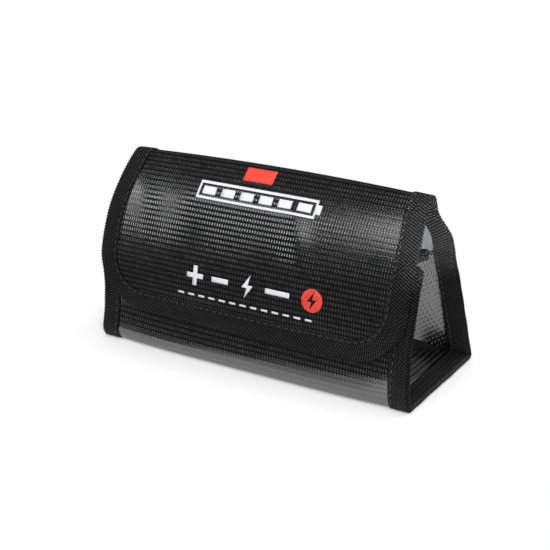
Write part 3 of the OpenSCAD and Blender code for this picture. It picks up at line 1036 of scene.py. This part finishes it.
BATTERY_Z = 75.5
RED_BAR_Z = 83.0
SIGN_Z = 42.0
DASHES_Z = 33.4
white_shapes = battery(-2, BATTERY_Z, 60, 6.4, 0.9, 6) + plus(-24, SIGN_Z, 8.5, 2.1)
white_shapes += [bar(-11, SIGN_Z, 8.5, 2.2), bolt(3, SIGN_Z, 10), bar(18, SIGN_Z, 12, 2.2)]
white_shapes += [bar(x, DASHES_Z, 3.2, 0.9) for x in np.arange(-31, 34, 5.4)]
red_shapes = [bar(-4.5, RED_BAR_Z, 15, 4.4)] + disc_round(35, SIGN_Z, 5, bolt(35, SIGN_Z, 8))
white_print = printed("white_signs", white_shapes, WHITE)
red_print = printed("red_signs", red_shapes, RED)


# ---- What rides on what ----


def belongs(piece, body, slot, *nodes):
    """A piece that moves with one body, and the CAD nodes that it stands for."""
    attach(piece, body)
    if nodes:
        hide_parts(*nodes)


def bends(piece, slot, *nodes):
    """Cloth and trim that run over the ridge from the pouch to the flap: each keeps its place,
    baked into its mesh, rides on no body, and the CAD nodes that it stands for are hidden.
    """
    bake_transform(piece)
    if nodes:
        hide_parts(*nodes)


belongs(front_cloth, "pouch", "coated_cloth", "outer_wrap")
belongs(back_cloth, "pouch", "coated_cloth")
belongs(wrap_lining, "pouch", "lining_cloth", "inner_lining")
bends(flap_cloth, "coated_cloth", "flap_panel")
bends(flap_lining, "lining_cloth", "flap_lining")
bends(flap_edge, "binding_tape", "flap_binding")
bends(flap_thread[0], "thread", "flap_stitching")
bends(flap_thread[1], "thread")
bends(white_print, "white_ink", "white_print")
bends(red_print, "red_ink", "red_print")
belongs(mouth_edge, "pouch", "binding_tape", "mouth_binding")
belongs(mouth_thread, "pouch", "thread", "mouth_stitching")
belongs(loop, "pouch", "fastener_strip", "loop_strip")
belongs(loop_thread, "pouch", "thread", "loop_strip_stitching")
belongs(hook, "flap", "fastener_strip", "hook_strip")
belongs(hook_thread, "flap", "thread", "hook_strip_stitching")
for side, word in WORD.items():
    belongs(tapes[side], "pouch", "binding_tape", f"{word}_end_binding")
    belongs(gussets[side][0], "pouch", "coated_cloth", f"{word}_gusset")
    belongs(gussets[side][1], "pouch", "binding_tape", f"{word}_gusset_hem")
    belongs(end_thread[side][0], "pouch", "thread", f"{word}_end_stitching")
    for piece in end_thread[side][1:]:
        belongs(piece, "pouch", "thread")


# ---- The cut sheets ----


def cut(piece, wide, long, held_by, area=None):
    """Takes the flat size in millimetres that a sheet was cut to, before it was folded and sewn,
    and does nothing with it.
    """


ENDS = ["left_end_tape", "right_end_tape"]
WIDE = 2 * float(wrap_half(BASE_FRONT))
FLAP_WIDE = 2 * float(flap_half(flap_at(48)))
FLAP_LONG = FLAP_END - EDGE_IN - SPLIT
FLAP_AREA = FLAP_WIDE * FLAP_LONG - (2 - math.pi / 2) * CORNER_R**2
cut(front_cloth, WIDE, BASE_REAR - MOUTH - MOUTH_IN, ENDS)
cut(back_cloth, WIDE, SPLIT - BASE_REAR, ENDS)
cut(wrap_lining, WIDE, SPLIT - MOUTH - MOUTH_IN, ENDS)
cut(flap_cloth, FLAP_WIDE, FLAP_LONG, ["flap_tape"], FLAP_AREA)
cut(flap_lining, FLAP_WIDE, FLAP_LONG, ["flap_tape"], FLAP_AREA)
GUSSET_BASE = BASE_REAR - BASE_FRONT + 2 * ALLOWANCE
BACK_TOP, FRONT_TOP = (np.interp(at(GUSSET_Z), FINE, FINE_Y) for at in (back_at, front_at))
GUSSET_TOP = float(BACK_TOP - FRONT_TOP) + 2 * ALLOWANCE
GUSSET_TALL = GUSSET_Z + ALLOWANCE
GUSSET_AREA = (GUSSET_BASE + GUSSET_TOP) / 2 * GUSSET_TALL
for side, word in WORD.items():
    cut(gussets[side][0], GUSSET_BASE, GUSSET_TALL, [f"{word}_end_tape"], GUSSET_AREA)


# ---- Floor, light and camera ----


def floor():
    """A pale round floor that fades into the white round it."""
    mat, m, bsdf = shader("floor")
    grain = m.noise(here(m), 400.0, 2.0)
    m.put(bsdf.inputs["Base Color"], m.mix(grain, (0.93, 0.93, 0.93, 1), (0.95, 0.95, 0.95, 1)))
    bsdf.inputs["Roughness"].default_value = 0.7
    parts = m.node("ShaderNodeSeparateXYZ", Vector=here(m))
    beside = m.do("MAXIMUM", m.do("SUBTRACT", m.do("ABSOLUTE", parts.outputs[0]), HALF_L * MM), 0.0)
    before = m.do("MAXIMUM", m.do("SUBTRACT", m.do("ABSOLUTE", parts.outputs[1]), REAR_Y * MM), 0.0)
    away = m.do("SQRT", m.do("ADD", m.do("POWER", beside, 2.0), m.do("POWER", before, 2.0)))
    bsdf.inputs["Emission Color"].default_value = (1, 1, 1, 1)
    bsdf.inputs["Emission Strength"].default_value = 0.17
    near = m.do("SUBTRACT", away, m.ramp(parts.outputs[0], 0.05, 0.11, 0.0, 0.05))
    m.put(bsdf.inputs["Alpha"], m.ramp(near, 0.012, 0.045, 1.0, 0.0))
    bpy.ops.mesh.primitive_circle_add(vertices=96, radius=0.16, fill_type="NGON")
    disc = bpy.context.object
    disc.name = "floor"
    disc.location.z = -0.0003
    disc.data.materials.append(mat)


MIDDLE = (0, 0, 0.045)  # of the bag, in metres
GAP = (0.072, 0, 0.07)  # the opening at the right end, in metres


def lamp(light, where, aim, power):
    light.energy = power
    o = bpy.data.objects.new(light.name, light)
    o.location = where
    o.rotation_euler = (Vector(aim) - Vector(where)).to_track_quat("-Z", "Y").to_euler()
    bpy.context.scene.collection.objects.link(o)
    return o


def area_light(name, where, power, wide, tall=None, reflected=True):
    """A softbox that faces the middle of the bag, square unless it has a height of its own."""
    light = bpy.data.lights.new(name, "AREA")
    light.size = wide
    if tall:
        light.shape = "RECTANGLE"
        light.size_y = tall
    lamp(light, where, MIDDLE, power).visible_glossy = reflected


def narrow_spot(name, where, aim, power, degrees):
    light = bpy.data.lights.new(name, "SPOT")
    light.spot_size = math.radians(degrees)
    light.spot_blend = 1.0
    light.shadow_soft_size = 0.02
    lamp(light, where, aim, power)


def camera():
    """The main view: from the front right and above, turned a little."""
    azimuth, elevation, roll = (math.radians(a) for a in (32.24, 21.62, -0.92))
    back = Vector(
        (
            math.sin(azimuth) * math.cos(elevation),
            -math.cos(azimuth) * math.cos(elevation),
            math.sin(elevation),
        )
    )
    right = (-back).cross(Vector((0, 0, 1))).normalized()
    up = right.cross(-back)
    x_axis = right * math.cos(roll) + up * math.sin(roll)
    y_axis = up * math.cos(roll) - right * math.sin(roll)
    aim = Vector((0, 0, 0.0375)) - right * 0.00365 - up * 0.00211
    data = bpy.data.cameras.new("camera")
    data.lens = 85.1
    data.sensor_width = 36
    o = bpy.data.objects.new("camera", data)
    turn = Matrix((x_axis, y_axis, back)).transposed().to_4x4()
    o.matrix_world = Matrix.Translation(aim + back * 0.5869) @ turn
    bpy.context.scene.collection.objects.link(o)
    bpy.context.scene.camera = o


def world():
    """White behind the object, and a dim studio in what it reflects."""
    w = bpy.data.worlds.new("studio")
    bpy.context.scene.world = w
    w.use_nodes = True
    m = Maths(w.node_tree)
    shade = w.node_tree.nodes["Background"]
    seen = w.node_tree.nodes.new("ShaderNodeLightPath").outputs["Is Camera Ray"]
    m.put(shade.inputs["Strength"], m.ramp(seen, 0.0, 1.0, 0.05, 1.0))
    shade.inputs["Color"].default_value = (1, 1, 1, 1)


def towards(azimuth, elevation, distance):
    """A place round the object: azimuth 0 is in front of it and 90 to its right."""
    a, e = math.radians(azimuth), math.radians(elevation)
    return (
        distance * math.sin(a) * math.cos(e),
        -distance * math.cos(a) * math.cos(e),
        distance * math.sin(e),
    )


floor()
world()
camera()
area_light("left softbox", towards(-68, 22, 0.9), 1.3, 0.24, 0.44)
area_light("right softbox", towards(-18, 52, 0.9), 0.45, 0.18, 0.3)
area_light("back softbox", towards(150, 42, 0.9), 2.2, 0.5, 0.4)
area_light("side softbox", towards(98, 20, 0.9), 0.5, 0.3, 0.5)
area_light("overhead", (0, 0, 1.4), 13, 1.8, reflected=False)
area_light("front fill", towards(25, 30, 1.2), 14, 1.2, reflected=False)
narrow_spot("gap light", towards(50, 8, 0.6), GAP, 220, 2.4)
bpy.context.scene.view_settings.view_transform = "Standard"
